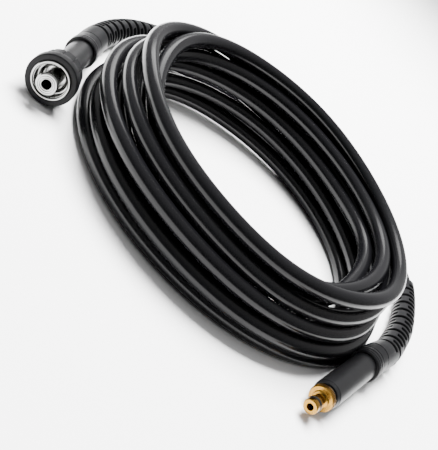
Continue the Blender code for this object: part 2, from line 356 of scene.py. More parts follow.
def joined(meshes: list[Mesh]) -> Mesh:
    """Joins meshes in one.

    Args:
        meshes: The meshes; they are removed.
    Returns:
        The joined mesh.
    """
    body = bmesh.new()
    for mesh in meshes:
        body.from_mesh(mesh)
    whole = bpy.data.meshes.new("joined")
    body.to_mesh(whole)
    body.free()
    for mesh in meshes:
        bpy.data.meshes.remove(mesh)
    return whole


def loft(rings: list[list[Vector]], closed: bool, marks: list[tuple[float, float]] | None = None) -> Mesh:
    """Makes a skin through equal rings of points.

    Args:
        rings: The rings, in metres.
        closed: Whether the last ring joins the first; if not, both are capped.
        marks: A (distance, radius) in millimetres for each point of a ring, kept as the lathe attribute.
    Returns:
        The mesh.
    """
    count = len(rings[0])
    points = [tuple(p) for ring in rings for p in ring]
    spans = len(rings) if closed else len(rings) - 1
    faces: list[tuple[int, ...]] = []
    for k in range(spans):
        a, b = k * count, ((k + 1) % len(rings)) * count
        faces += [(a + i, a + (i + 1) % count, b + (i + 1) % count, b + i) for i in range(count)]
    if not closed:
        faces.append(tuple(range(count)))
        faces.append(tuple(range((len(rings) - 1) * count, len(rings) * count)))
    mesh = bpy.data.meshes.new("loft")
    mesh.from_pydata(points, [], faces)
    if marks:
        lathe = mesh.attributes.new("lathe", "FLOAT_VECTOR", "POINT")
        for k in range(len(rings)):
            angle = 2.0 * math.pi * k / len(rings)
            for i, (distance, radius) in enumerate(marks):
                lathe.data[k * count + i].vector = (angle * radius * MM, distance * MM, radius * MM)
    return mesh


def turned(axis: Axis, profile: list[tuple[float, float]], steps: int = 96) -> Mesh:
    """Turns a closed profile about an axis.

    Args:
        axis: The axis.
        profile: Points (distance, radius) in millimetres, in order round the section.
        steps: How many sections round.
    Returns:
        The mesh, with each point's distance and radius kept as the lathe attribute.
    """
    rings = []
    for k in range(steps):
        angle = 2.0 * math.pi * k / steps
        rings.append([place(axis.at(d, r, angle)) for d, r in profile])
    return loft(rings, True, profile)


class Tree:
    """A geometry node tree with named inputs, which ends in Realize Instances and Set Material."""

    def __init__(self, name: str, inputs: dict[str, str]) -> None:
        """Starts the tree.

        Args:
            name: The tree's name.
            inputs: The socket type of each named input.
        """
        self.tree = bpy.data.node_groups.new(name, "GeometryNodeTree")
        face = self.tree.interface
        face.new_socket("Geometry", in_out="INPUT", socket_type="NodeSocketGeometry")
        for label, kind in {**inputs, "Material": "NodeSocketMaterial"}.items():
            face.new_socket(label, in_out="INPUT", socket_type=kind)
        face.new_socket("Geometry", in_out="OUTPUT", socket_type="NodeSocketGeometry")
        self.start = self.tree.nodes.new("NodeGroupInput")

    def add(self, kind: str, settings: dict | None = None, inputs: dict | None = None) -> Node:
        """Adds a node to the tree."""
        return add_node(self.tree, kind, settings, inputs)

    def given(self, label: str) -> NodeSocket:
        """The named input's socket."""
        return self.start.outputs[label]

    def end(self, geometry: NodeSocket) -> None:
        """Closes the tree on a geometry."""
        real = self.add("GeometryNodeRealizeInstances", inputs={"Geometry": geometry})
        dressed = self.add("GeometryNodeSetMaterial", inputs={
            "Geometry": real.outputs["Geometry"], "Material": self.given("Material")})
        self.add("NodeGroupOutput", inputs={"Geometry": dressed.outputs["Geometry"]})

    def end_on_axis(self, geometry: NodeSocket) -> None:
        """Closes the tree on a geometry that its inputs Turn and Place put on an axis."""
        turn = self.add("FunctionNodeEulerToRotation", inputs={"Euler": self.given("Turn")})
        put = self.add("GeometryNodeTransform", inputs={
            "Geometry": geometry, "Translation": self.given("Place"), "Rotation": turn.outputs["Rotation"]})
        self.end(put.outputs["Geometry"])

    def run(self, host_mesh: Mesh, values: dict) -> Mesh:
        """Runs the tree on a mesh.

        Args:
            host_mesh: What goes into the tree.
            values: A value for each named input.
        Returns:
            The result as a plain mesh.
        """
        host = put_in_scene(self.tree.name, host_mesh)
        modifier = host.modifiers.new(self.tree.name, "NODES")
        modifier.node_group = self.tree
        for item in self.tree.interface.items_tree:
            if item.in_out == "INPUT" and item.name in values:
                modifier[item.identifier] = values[item.name]
        seen = host.evaluated_get(bpy.context.evaluated_depsgraph_get())
        result = bpy.data.meshes.new_from_object(seen)
        bpy.data.objects.remove(host, do_unlink=True)
        return result


def tube_tree() -> Tree:
    """Builds the tree that draws a round tube along a line of edges.

    Returns:
        The tree, with Radius and Sides as inputs. Each point keeps where it is on the hose as hose_run.
    """
    tree = Tree("hose_tube", {"Radius": "NodeSocketFloat", "Sides": "NodeSocketInt"})
    line = tree.add("GeometryNodeMeshToCurve", inputs={"Mesh": tree.given("Geometry")})
    level = tree.add("GeometryNodeSetCurveNormal", {"mode": "Z_UP"}, {"Curve": line.outputs["Curve"]})
    run = tree.add("GeometryNodeSplineParameter")
    kept = tree.add("GeometryNodeStoreNamedAttribute", {"data_type": "FLOAT", "domain": "POINT"}, {
        "Geometry": level.outputs["Curve"], "Name": "run", "Value": run.outputs["Length"]})
    circle = tree.add("GeometryNodeCurvePrimitiveCircle", inputs={
        "Resolution": tree.given("Sides"), "Radius": tree.given("Radius")})
    spot = tree.add("GeometryNodeInputPosition")
    rim = tree.add("GeometryNodeStoreNamedAttribute", {"data_type": "FLOAT_VECTOR", "domain": "POINT"}, {
        "Geometry": circle.outputs["Curve"], "Name": "rim", "Value": spot.outputs["Position"]})
    skin = tree.add("GeometryNodeCurveToMesh", inputs={
        "Curve": kept.outputs["Geometry"], "Profile Curve": rim.outputs["Geometry"], "Fill Caps": True})
    along = tree.add("GeometryNodeInputNamedAttribute", {"data_type": "FLOAT"}, {"Name": "run"})
    around = tree.add("GeometryNodeInputNamedAttribute", {"data_type": "FLOAT_VECTOR"}, {"Name": "rim"})
    lift = tree.add("ShaderNodeCombineXYZ", inputs={"Z": along.outputs["Attribute"]})
    both = tree.add("ShaderNodeVectorMath", {"operation": "ADD"}, {
        0: around.outputs["Attribute"], 1: lift.outputs["Vector"]})
    marked = tree.add("GeometryNodeStoreNamedAttribute", {"data_type": "FLOAT_VECTOR", "domain": "POINT"}, {
        "Geometry": skin.outputs["Mesh"], "Name": "hose_run", "Value": both.outputs["Vector"]})
    tree.end(marked.outputs["Geometry"])
    return tree


def around_tree() -> Tree:
    """Builds the tree that repeats one part round an axis.

    Returns:
        The tree, with Count, Turn and Place as inputs.
    """
    tree = Tree("around_axis", {"Count": "NodeSocketInt", "Turn": "NodeSocketVector",
                                "Place": "NodeSocketVector"})
    seats = tree.add("GeometryNodePoints", inputs={"Count": tree.given("Count")})
    number = tree.add("GeometryNodeInputIndex")
    step = tree.add("ShaderNodeMath", {"operation": "DIVIDE"}, {0: 2.0 * math.pi, 1: tree.given("Count")})
    angle = tree.add("ShaderNodeMath", {"operation": "MULTIPLY"}, {
        0: number.outputs["Index"], 1: step.outputs["Value"]})
    spin = tree.add("ShaderNodeCombineXYZ", inputs={"Z": angle.outputs["Value"]})
    spun = tree.add("FunctionNodeEulerToRotation", inputs={"Euler": spin.outputs["Vector"]})
    copies = tree.add("GeometryNodeInstanceOnPoints", inputs={
        "Points": seats.outputs[0], "Instance": tree.given("Geometry"), "Rotation": spun.outputs["Rotation"]})
    tree.end_on_axis(copies.outputs["Instances"])
    return tree


def thread_tree() -> Tree:
    """Builds the tree that winds a screw thread's ridge round an axis.

    Returns:
        The tree, with the thread's Radius, Length, Turns, Ridge, Turn and Place as inputs.
    """
    tree = Tree("screw_thread", {"Radius": "NodeSocketFloat", "Length": "NodeSocketFloat",
                                 "Turns": "NodeSocketFloat", "Ridge": "NodeSocketFloat",
                                 "Turn": "NodeSocketVector", "Place": "NodeSocketVector"})
    helix = tree.add("GeometryNodeCurveSpiral", inputs={
        "Resolution": 64, "Rotations": tree.given("Turns"), "Start Radius": tree.given("Radius"),
        "End Radius": tree.given("Radius"), "Height": tree.given("Length")})
    level = tree.add("GeometryNodeSetCurveNormal", {"mode": "Z_UP"}, {"Curve": helix.outputs["Curve"]})
    ridge = tree.add("GeometryNodeCurvePrimitiveCircle", inputs={
        "Resolution": 6, "Radius": tree.given("Ridge")})
    skin = tree.add("GeometryNodeCurveToMesh", inputs={
        "Curve": level.outputs["Curve"], "Profile Curve": ridge.outputs["Curve"], "Fill Caps": True})
    tree.end_on_axis(skin.outputs["Mesh"])
    return tree


def natural_spline(knots: np.ndarray, values: np.ndarray, at: np.ndarray) -> np.ndarray:
    """Draws a natural cubic spline.

    Args:
        knots: Where the values stand, rising.
        values: One row for each knot.
        at: Where to read the spline.
    Returns:
        One row for each place read.
    """
    gap = np.diff(knots)
    count = len(knots)
    system = np.eye(count)
    right = np.zeros_like(values)
    for i in range(1, count - 1):
        system[i, i - 1:i + 2] = gap[i - 1], 2.0 * (gap[i - 1] + gap[i]), gap[i]
        right[i] = 6.0 * ((values[i + 1] - values[i]) / gap[i] - (values[i] - values[i - 1]) / gap[i - 1])
    bend = np.linalg.solve(system, right)
    k = np.clip(np.searchsorted(knots, at, side="right") - 1, 0, count - 2)
    h = gap[k][:, None]
    a, b = (knots[k + 1] - at)[:, None] / h, (at - knots[k])[:, None] / h
    return (a * values[k] + b * values[k + 1]
            + ((a ** 3 - a) * bend[k] + (b ** 3 - b) * bend[k + 1]) * h ** 2 / 6.0)


@dataclass
class HoseRun:
    """The hose's centreline from the nut end, round the coil and out to the brass end."""

    inlet: Axis
    outlet: Axis
    # Each turn in twelve places from the back, clockwise seen from above: first the distances from the axis,
    # then the heights.
    turns: Turns
    inlet_start: float = 28.0
    outlet_start: float = 24.0
    inlet_collar: float = 71.0
    outlet_collar: float = 81.0
    # Where else the hose is held to the straight axis of its fitting.
    inlet_held: tuple[float, ...] = (38.0, 55.0, 76.75, 83.5, 87.5)
    outlet_held: tuple[float, ...] = (44.0, 64.0, 86.75, 93.5, 97.5)
    step: float = 4.0
    wind_step: float = 10.0
    # The two free ends. Past inlet_joins and outlet_joins points they are drawn with the turns.
    inlet_route: tuple[Point, ...] = (
        (-156.6, 4.1, 11.4), (-160.9, 27.5, 10.8), (-162.7, 48.6, 10.4), (-161.7, 70.1, 10.2),
        (-158.7, 90.6, 9.8), (-154.3, 109.7, 9.2), (-148.0, 128.0, 8.5), (-138.0, 144.0, 7.9),
        (-121.0, 155.5, 6.6), (-100.0, 158.0, 5.8), (-76.0, 152.5, 5.5))
    outlet_route: tuple[Point, ...] = (
        (147.3, -12.0, 11.3), (151.0, 8.2, 11.0), (153.8, 29.9, 10.6), (154.4, 53.1, 10.2),
        (153.8, 77.0, 10.0), (152.5, 100.2, 9.2), (148.9, 120.0, 8.5), (141.0, 140.0, 7.9),
        (126.0, 155.5, 6.4), (103.0, 163.0, 5.7), (77.0, 160.5, 5.7), (53.0, 151.5, 5.7))
    inlet_joins: int = 5
    outlet_joins: int = 5

    def __post_init__(self) -> None:
        """Draws the line and measures it."""
        wound = self.winding()
        ahead = [self.inlet.at(d) for d in sorted((self.inlet_start, self.inlet_collar, *self.inlet_held))]
        behind = [self.outlet.at(d) for d in sorted(
            (self.outlet_start, self.outlet_collar, *self.outlet_held), reverse=True)]
        points = np.array([tuple(p) for p in ahead] + list(self.inlet_route[:self.inlet_joins])
                          + [tuple(p) for p in wound]
                          + list(reversed(self.outlet_route[:self.outlet_joins]))
                          + [tuple(p) for p in behind])
        run = np.concatenate([[0.0], np.cumsum(np.linalg.norm(np.diff(points, axis=0), axis=1))])
        fine = natural_spline(run, points, np.linspace(0.0, run[-1], int(run[-1])))
        far = np.concatenate([[0.0], np.cumsum(np.linalg.norm(np.diff(fine, axis=0), axis=1))])
        self.length = float(far[-1])
        even = np.linspace(0.0, self.length, int(self.length / self.step) + 1)
        self.line = np.stack([np.interp(even, far, fine[:, i]) for i in range(3)], axis=1)
        self.run = even

    def winding(self) -> np.ndarray:
        """Draws the coil with the hidden ends of both tails.

        Returns:
            Points in millimetres from the coil's axis.
        """
        joined_in = np.array(self.inlet_route[self.inlet_joins:])
        joined_out = np.array(self.outlet_route[self.outlet_joins:])[::-1]
        rows = [pair for turn in self.turns for pair in zip(*turn)]
        along = 90.0 + 30.0 * np.arange(len(rows))
        place_in = 180.0 - np.degrees(np.arctan2(joined_in[:, 1], joined_in[:, 0]))
        place_out = along[-1] + 90.0 - np.degrees(np.arctan2(joined_out[:, 1], joined_out[:, 0]))
        knots = np.concatenate([place_in, along, place_out])
        far_in, far_out = (np.column_stack([np.hypot(part[:, 0], part[:, 1]), part[:, 2]])
                           for part in (joined_in, joined_out))
        values = np.vstack([far_in, np.array(rows), far_out])
        at = np.linspace(knots[0], knots[-1], int((knots[-1] - knots[0]) / self.wind_step))
        drawn = natural_spline(knots, values, at)
        angle = np.radians(180.0 - at)
        return np.column_stack([drawn[:, 0] * np.cos(angle), drawn[:, 0] * np.sin(angle), drawn[:, 1]])

    def point(self, distance: float) -> Vector:
        """The point at a distance from the nut end's start."""
        return Vector([float(np.interp(distance, self.run, self.line[:, i])) for i in range(3)])

    def ring(self, distance: float, radii: list[float]) -> list[Vector]:
        """Draws a ring across the hose.

        Args:
            distance: Where along the hose, in millimetres.
            radii: The ring's radius at each of its points, from the side over the top.
        Returns:
            The ring's points in metres in the CAD frame.
        """
        along = (self.point(distance + 1.5) - self.point(distance - 1.5)).normalized()
        side = along.cross(Vector((0.0, 0.0, 1.0))).normalized()
        up = side.cross(along)
        centre = self.point(distance)
        count = len(radii)
        return [place(centre + (side * math.cos(2.0 * math.pi * i / count)
                                + up * math.sin(2.0 * math.pi * i / count)) * r)
                for i, r in enumerate(radii)]


@dataclass
class Hose:
    """The hose itself, one piece from ferrule to ferrule."""

    radius: float
    sides: int = 24

    def build(self, run: HoseRun, palette: Palette) -> Object:
        """Makes the hose and hides the CAD nodes that it replaces.

        Args:
            run: Its centreline.
            palette: The finishes.
        Returns:
            The piece.
        """
        points = [place(Vector(p)) for p in run.line]
        line = bpy.data.meshes.new("hose_line")
        line.from_pydata(points, [(i, i + 1) for i in range(len(points) - 1)], [])
        material = palette.get(Palette.HOSE_PVC)
        mesh = tube_tree().run(line, {"Radius": self.radius * MM, "Sides": self.sides, "Material": material})
        hose = finished("hose", mesh, material, crease=50.0)
        dress(hose, Body.HOSE, Palette.HOSE_PVC, "hose_coil", "hose_tail_inlet", "hose_tail_outlet")
        return hose


@dataclass
class BendProtector:
    """A moulded sleeve that keeps the hose from kinking behind its fitting.

    Slots are cut through it in pairs, and each pair stands a quarter turn round from the one before.
    """

    name: str
    direction: int
    first_slot: float
    slot_pitch: float
    slot_count: int
    # Which side of a ring the first pair's bridges are centred on; the next pair's stand a quarter turn on.
    slot_turn: int
    length: float = 175.0
    # The outside: (distance from the collar's front, radius).
    shape: tuple[Corner, ...] = (
        (0.0, 10.7), (0.5, 11.2), (0.9, 11.3), (9.0, 11.3), (9.8, 10.9), (32.0, 10.4), (50.0, 10.0),
        (70.0, 9.9), (105.0, 9.8), (125.0, 9.2), (145.0, 8.5), (160.0, 8.0), (174.2, 7.6), (175.0, 7.2))
    grooves: tuple[float, ...] = (2.6, 6.0, 10.4, 20.0)
    groove_width: float = 0.9
    groove_depth: float = 0.5
    slot_width: float = 3.8
    slot_floor: float = 6.3
    slot_wall: float = 0.2
    slot_bevel: float = 0.35
    slot_margin: float = 0.5
    # What stands between the two slots of a pair: this many sides on either side of its middle.
    bridge: int = 5
    sides: int = 72
    bore: float = 6.1
    collar_bore: float = 9.4
    collar_depth: float = 12.0

    def outside(self, distance: float) -> float:
        """The smooth outside's radius at a distance from the collar."""
        return float(np.interp(distance, [s[0] for s in self.shape], [s[1] for s in self.shape]))

    def radii(self, distance: float, slot: int | None, floor: bool) -> list[float]:
        """Works out one ring.

        Args:
            distance: How far from the collar's front.
            slot: The number of the slot that the ring lies in, or None.
            floor: Whether the ring lies on the slot's floor, not on its bevelled lip.
        Returns:
            The radius at each point of the ring.
        """
        wall = self.outside(distance)
        for groove in self.grooves:
            if abs(distance - groove) < 0.25 * self.groove_width:
                wall -= self.groove_depth
        if slot is None:
            return [wall] * self.sides
        half = self.sides // 2
        turn = self.slot_turn + (half // 2 if slot % 2 else 0)
        cut = min(self.slot_floor, wall - 0.3) if floor else wall - self.slot_bevel
        return [wall if min((i - turn) % half, half - (i - turn) % half) < self.bridge else cut
                for i in range(self.sides)]

    def stations(self) -> list[tuple[float, int | None, bool]]:
        """Lists the rings.

        Returns:
            Each ring's distance from the collar, its slot or None, and whether it lies on the slot's floor.
        """
        rows: dict[float, tuple[int | None, bool]] = {s[0]: (None, False) for s in self.shape}
        for groove in self.grooves:
            for offset in (-0.5, -0.2, 0.2, 0.5):
                rows[groove + offset * self.groove_width] = (None, False)
        for k in range(self.slot_count):
            middle = self.first_slot + k * self.slot_pitch
            half = self.slot_width / 2.0
            for old in [d for d in rows if abs(d - middle) < half + self.slot_margin + 0.1]:
                del rows[old]
            for sign in (-1.0, 1.0):
                rows[middle + sign * (half + self.slot_margin)] = (None, False)
                rows[middle + sign * half] = (k, False)
                rows[middle + sign * (half - self.slot_wall)] = (k, True)
            rows[middle] = (k, True)
            rows[middle + self.slot_pitch / 2.0] = (None, False)
        return sorted((d, *rest) for d, rest in rows.items() if d <= self.length)

    def build(self, run: HoseRun, start: float, palette: Palette) -> Object:
        """Makes the bend protector.

        Args:
            run: The hose's centreline.
            start: Where the collar's front is on it, in millimetres.
            palette: The finishes.
        Returns:
            The piece, which stands for its CAD node.
        """
        rings = [run.ring(start + self.direction * d, self.radii(d, slot, floor))
                 for d, slot, floor in self.stations()]
        inside = [(self.length * share, self.bore) for share in (1.0, 0.75, 0.5, 0.25)]
        inside += [(self.collar_depth, self.bore), (self.collar_depth - 0.1, self.collar_bore),
                   (0.0, self.collar_bore)]
        rings += [run.ring(start + self.direction * d, [radius] * self.sides) for d, radius in inside]
        return stand_in(self.name, loft(rings, True), Body.HOSE, Palette.BOOT, palette, crease=32.0)


def dress(piece: Object, body: Body, finish: Finish, *nodes: str) -> None:
    """Hangs a piece on the CAD body that it rides on and hides the CAD nodes that it replaces.

    Args:
        piece: The piece.
        body: The CAD body.
        finish: Not used.
        nodes: The CAD nodes that it replaces.
    """
    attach(piece, body.value)
    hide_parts(*nodes)


def stand_in(node: str, mesh: Mesh, body: Body, finish: Finish, palette: Palette,
             crease: float = 35.0) -> Object:
    """Makes the piece that stands for one CAD node.

    Args:
        node: The CAD node.
        mesh: The piece's mesh, in metres in the CAD frame.
        body: The CAD body that it rides on.
        finish: Its finish.
        palette: The finishes.
        crease: The angle in degrees past which an edge stays sharp.
    Returns:
        The piece.
    """
    piece = finished(node + "_skin", mesh, palette.get(finish), crease)
    dress(piece, body, finish, node)
    return piece


@dataclass
class SwivelNut:
    """The screw end: the hand grip, its threaded insert and the nipple that seals in its middle."""

    axis: Axis
    palette: Palette
    ring_radius: float = 16.45
    ring_length: float = 7.5
    body_radius: float = 14.6
    groove_radius: float = 13.6
    length: float = 21.0
    blocks: int = 12
    groove_share: float = 0.14
    block_turn: float = -3.6
    block_ease: float = 0.35
    block_flank: float = 0.022
    block_steps: int = 8
    insert_radius: float = 12.4
    insert_proud: float = 1.5
    insert_length: float = 19.0
    thread_radius: float = 10.9
    thread_length: float = 5.2
    thread_pitch: float = 1.5
    # How far behind the insert's front the thread starts, and how much of the bore it leaves plain in all.
    thread_lead: float = 1.4
    thread_free: float = 2.4
    socket_radius: float = 7.3
    socket_length: float = 17.0
    head_front: float = -9.3
    # The nipple's face from its bore to its rim, with two thin grooves: (depth, radius, rounding).
    face: tuple[Corner, ...] = (
        (0.5, 3.1), (0.2, 3.4, 0.1), (0.2, 3.9, 0.1), (0.6, 4.0), (0.6, 4.2), (0.0, 4.3, 0.1),
        (0.0, 5.1, 0.1), (0.5, 5.2), (0.5, 5.4), (0.0, 5.5, 0.1), (0.0, 6.35, 0.2))
    head_length: float = 3.0
    nipple_back: float = 27.4
    flange: float = 7.0
    flange_length: float = 2.5
    gap: float = 0.3
    sleeve_front: float = 21.6
    sleeve_back: float = 82.5
    sleeve_radius: float = 9.15
    sleeve_bore: float = 8.25
    neck: float = 5.2
    bore: float = 3.1

    def block(self) -> Mesh:
        """Makes one block of the grip about local Z.

        Returns:
            The mesh, in metres.
        """
        half = math.pi / self.blocks * (1.0 - self.groove_share)
        turn = math.radians(self.block_turn)
        low, high = self.groove_radius - 0.4, self.body_radius
        front, back, ease, steps = self.ring_length - 0.2, self.length, self.block_ease, self.block_steps
        rings = []
        for i in range(steps + 3):
            share = min(max((i - 1) / steps, 0.0), 1.0)
            edge = i in (0, steps + 2)
            angle = -half + 2.0 * half * share
            top = high - ease if edge else high
            if edge:
                angle += math.copysign(self.block_flank, angle)
            outline = [(front, low), (front, top), (back - ease, top), (back, top - ease), (back, low)]
            rings.append([Vector((r * math.cos(angle + turn), r * math.sin(angle + turn), d)) * MM
                          for d, r in outline])
        return loft(rings, False)

    def grip(self) -> Object:
        """Makes the plastic grip."""
        bore = self.insert_radius + self.gap
        shell = turned(self.axis, rounded([
            (0.0, bore, 0.3), (0.0, self.ring_radius, 0.9), (self.ring_length, self.ring_radius, 0.5),
            (self.ring_length, self.groove_radius, 0.3), (self.length, self.groove_radius, 0.5),
            (self.length, bore)]), 120)
        blocks = around_tree().run(self.block(), {
            "Count": self.blocks, "Material": self.palette.get(Palette.GRIP), **self.axis.seat()})
        return stand_in("swivel_nut_grip", joined([shell, blocks]), Body.NUT, Palette.GRIP, self.palette)

    def insert(self) -> Object:
        """Makes the threaded metal insert."""
        front = -self.insert_proud
        shell = turned(self.axis, rounded([
            (front + 0.6, self.thread_radius), (front, self.thread_radius + 0.4, 0.15),
            (front, self.insert_radius - 0.3, 0.15), (front + 0.4, self.insert_radius),
            (self.insert_length, self.insert_radius), (self.insert_length, self.neck + self.gap),
            (self.socket_length, self.neck + self.gap), (self.socket_length, self.socket_radius),
            (self.thread_length + 1.6, self.socket_radius, 0.3), (self.thread_length, 9.3, 0.3),
            (self.thread_length, self.thread_radius)]), 96)
        wound = self.thread_length - front - self.thread_free
        thread = thread_tree().run(bpy.data.meshes.new("none"), {
            "Radius": (self.thread_radius + 0.1) * MM, "Length": wound * MM,
            "Turns": wound / self.thread_pitch, "Ridge": 0.5 * self.thread_pitch * MM,
            "Material": self.palette.get(Palette.NICKEL), **self.axis.seat(front + self.thread_lead)})
        return stand_in("swivel_nut_insert", joined([shell, thread]), Body.NUT, Palette.NICKEL, self.palette)

    def nipple(self) -> Object:
        """Makes the nipple: a bright rim, a groove and a bright lip round the hole."""
        front, head_back = self.head_front, self.head_front + self.head_length
        flange_back = self.socket_length - self.gap
        flange_front = flange_back - self.flange_length
        mesh = turned(self.axis, rounded([(front + depth, *rest) for depth, *rest in self.face] + [
            (front + 0.9, self.flange, 0.2), (head_back, self.flange, 0.3), (head_back, self.neck),
            (flange_front, self.neck), (flange_front, self.flange), (flange_back, self.flange),
            (flange_back, self.neck), (self.nipple_back, self.neck), (self.nipple_back, self.bore)]), 96)
        return stand_in("inlet_nipple", mesh, Body.HOSE, Palette.NICKEL, self.palette)

    def sleeve(self) -> Object:
        """Makes the smooth sleeve behind the nut."""
        mesh = turned(self.axis, rounded([
            (self.sleeve_front, self.sleeve_bore), (self.sleeve_front, self.sleeve_radius, 0.6),
            (self.sleeve_back, self.sleeve_radius), (self.sleeve_back, self.sleeve_bore)]), 72)
        return stand_in("inlet_sleeve", mesh, Body.HOSE, Palette.SLEEVE, self.palette)

    def build(self) -> list[Object]:
        """Makes the whole end."""
        return [self.grip(), self.insert(), self.nipple(), self.sleeve()]


@dataclass
class PlugEnd:
    """The push-in end: the brass plug, its O-ring, the ferrule's rim and the sleeve behind it."""

    axis: Axis
    palette: Palette
    bore: float = 2.1
    tip_radius: float = 4.7
    # Where the O-ring's groove starts and ends, where the tip ends, and where the neck starts and ends.
    groove: tuple[float, float] = (3.6, 6.0)
    tip_back: float = 7.6
    neck: tuple[float, float] = (8.4, 12.6)
    neck_radius: float = 3.6
    ring_radius: float = 4.15
    ring_section: float = 0.85
    ring_squash: float = 1.2
    flange_radius: float = 8.35
    flange_front: float = 14.0
    flange_back: float = 18.2
    shank_radius: float = 4.0
    shank_back: float = 23.5
    knurls: int = 64
    sleeve_front: float = 20.2
    sleeve_back: float = 92.5
    sleeve_radius: float = 9.15
    sleeve_bore: float = 8.25
    mouth: float = 7.5
    ferrule_front: float = 18.5
    ferrule_back: float = 45.5
    ferrule_radius: float = 7.4
    # The ferrule's bores: round the plug's shank and round the hose.
    shank_clear: float = 4.3
    hose_clear: float = 5.8

    def tooth(self) -> Mesh:
        """Makes one tooth of the flange's knurl about local Z.

        Returns:
            The mesh, in metres.
        """
        half = math.pi / self.knurls * 0.8
        root, tip = self.flange_radius - 0.45, self.flange_radius
        rings = []
        for d, ease in ((self.flange_front + 1.0, 0.25), (self.flange_front + 1.25, 0.0),
                        (self.flange_back - 0.35, 0.0), (self.flange_back - 0.1, 0.25)):
            rings.append([Vector((r * math.cos(a), r * math.sin(a), d)) * MM for r, a in (
                (root - 0.3, -half), (root - 0.3, half), (root - ease, half), (tip - ease, half * 0.2),
                (tip - ease, -half * 0.2), (root - ease, -half))])
        return loft(rings, False)

    def plug(self) -> Object:
        """Makes the brass plug."""
        rim = self.flange_radius - 0.35
        shell = turned(self.axis, rounded([
            (0.3, self.bore), (0.0, self.bore + 0.15), (0.0, self.tip_radius, 0.9),
            (self.groove[0], self.tip_radius, 0.2), (self.groove[0], self.neck_radius),
            (self.groove[1], self.neck_radius), (self.groove[1], self.tip_radius, 0.2),
            (self.tip_back, self.tip_radius, 0.4), (self.neck[0], self.neck_radius, 0.3),
            (self.neck[1], self.neck_radius, 0.4), (self.neck[1] + 0.6, self.neck_radius + 1.5, 0.2),
            (self.flange_front, self.neck_radius + 1.9, 0.2), (self.flange_front, rim - 0.2, 0.4),
            (self.flange_front + 0.7, rim, 0.2), (self.flange_back, rim, 0.2),
            (self.flange_back, self.shank_radius), (self.shank_back, self.shank_radius),
            (self.shank_back, self.bore)]), 96)
        teeth = around_tree().run(self.tooth(), {
            "Count": self.knurls, "Material": self.palette.get(Palette.BRASS), **self.axis.seat()})
        return stand_in("outlet_plug", joined([shell, teeth]), Body.HOSE, Palette.BRASS, self.palette)

    def o_ring(self) -> Object:
        """Makes the O-ring in its groove."""
        middle, steps = sum(self.groove) / 2.0, 16
        around = [2.0 * math.pi * i / steps for i in range(steps)]
        mesh = turned(self.axis, [(middle + self.ring_squash * self.ring_section * math.cos(a),
                                   self.ring_radius + self.ring_section * math.sin(a)) for a in around], 72)
        return stand_in("outlet_o_ring", mesh, Body.HOSE, Palette.RUBBER, self.palette, crease=60.0)

    def ferrule(self) -> Object:
        """Makes the crimp ferrule, whose bright front edge shows in the sleeve."""
        mesh = turned(self.axis, rounded([
            (self.ferrule_front, self.shank_clear), (self.ferrule_front, self.ferrule_radius, 0.7),
            (self.ferrule_back, self.ferrule_radius), (self.ferrule_back, self.hose_clear),
            (self.shank_back, self.hose_clear), (self.shank_back, self.shank_clear)]), 72)
        return stand_in("outlet_ferrule", mesh, Body.HOSE, Palette.NICKEL, self.palette)

    def sleeve(self) -> Object:
        """Makes the smooth sleeve with its dark front rim."""
        mesh = turned(self.axis, rounded([
            (self.sleeve_front, self.mouth, 0.2), (self.sleeve_front, self.sleeve_radius - 0.9, 0.5),
            (self.sleeve_front + 2.6, self.sleeve_radius - 0.35, 0.4),
            (self.sleeve_front + 3.0, self.sleeve_radius, 0.2),
            (self.sleeve_back, self.sleeve_radius), (self.sleeve_back, self.sleeve_bore),
            (self.sleeve_front + 1.2, self.sleeve_bore), (self.sleeve_front + 1.2, self.mouth)]), 72)
        return stand_in("outlet_sleeve", mesh, Body.HOSE, Palette.SLEEVE, self.palette)

    def build(self) -> list[Object]:
        """Makes the whole end."""
        return [self.plug(), self.o_ring(), self.ferrule(), self.sleeve()]


